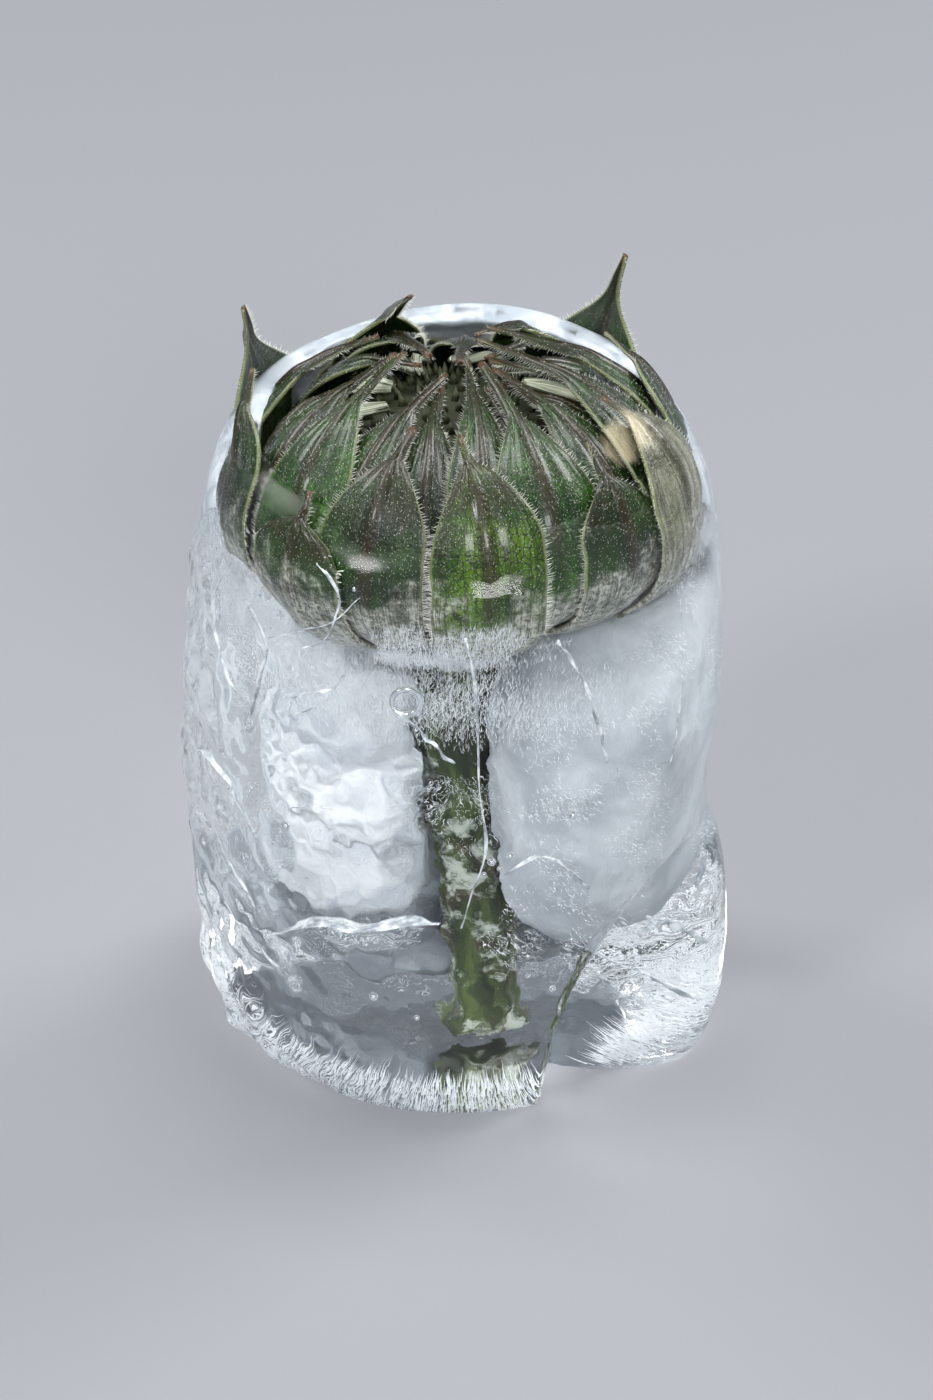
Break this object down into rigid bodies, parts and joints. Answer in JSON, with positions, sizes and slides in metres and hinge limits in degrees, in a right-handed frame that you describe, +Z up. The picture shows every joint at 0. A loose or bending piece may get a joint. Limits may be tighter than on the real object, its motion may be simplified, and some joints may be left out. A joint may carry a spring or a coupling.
{
  "type": "ice block with a frozen flower bud",
  "caption": "Melt-rounded block of clear ice with a green flower bud and its stem frozen in it upright; the bud's pointed bracts stand out of the open top.",
  "frame": {"origin": "centre of the block's flat foot, on the surface that it stands on", "axes": "+Z up along the stem, -Y towards the side that faces the viewer, +X to the viewer's right"},
  "size_m": [0.0701, 0.0706, 0.0985],
  "materials": {
    "clear_ice": "clear wet ice with cloudy masses, smooth and melted outside",
    "bract": "dark green leaf with ribs, turning brown-purple to its tip, set with short white hairs",
    "petal": "pale yellow-green young petal",
    "floret_disc": "closed florets, dull green",
    "flower_base": "matt green flesh",
    "stem": "ribbed green stem, hairy, mottled with brown"
  },
  "bodies": {
    "root": {"bract_1_1": "bract", "bract_1_2": "bract", "bract_1_3": "bract", "bract_1_4": "bract", "bract_1_5": "bract", "bract_1_6": "bract", "bract_2_1": "bract", "bract_2_2": "bract", "bract_2_3": "bract", "bract_2_4": "bract", "bract_2_5": "bract", "bract_2_6": "bract", "bract_3_1": "bract", "bract_3_2": "bract", "bract_3_3": "bract", "bract_3_4": "bract", "bract_3_5": "bract", "bract_3_6": "bract", "bract_3_7": "bract", "bract_4_1": "bract", "bract_4_2": "bract", "bract_4_3": "bract", "bract_4_4": "bract", "bract_4_5": "bract", "bract_4_6": "bract", "bract_4_7": "bract", "bract_5_1": "bract", "bract_5_2": "bract", "bract_5_3": "bract", "bract_5_4": "bract", "bract_5_5": "bract", "bract_5_6": "bract", "bract_5_7": "bract", "floret_disc": "floret_disc", "flower_base": "flower_base", "ice_block": "clear_ice", "petal_1": "petal", "petal_10": "petal", "petal_11": "petal", "petal_2": "petal", "petal_3": "petal", "petal_4": "petal", "petal_5": "petal", "petal_6": "petal", "petal_7": "petal", "petal_8": "petal", "petal_9": "petal", "stem": "stem"}
  },
  "joints": []
}
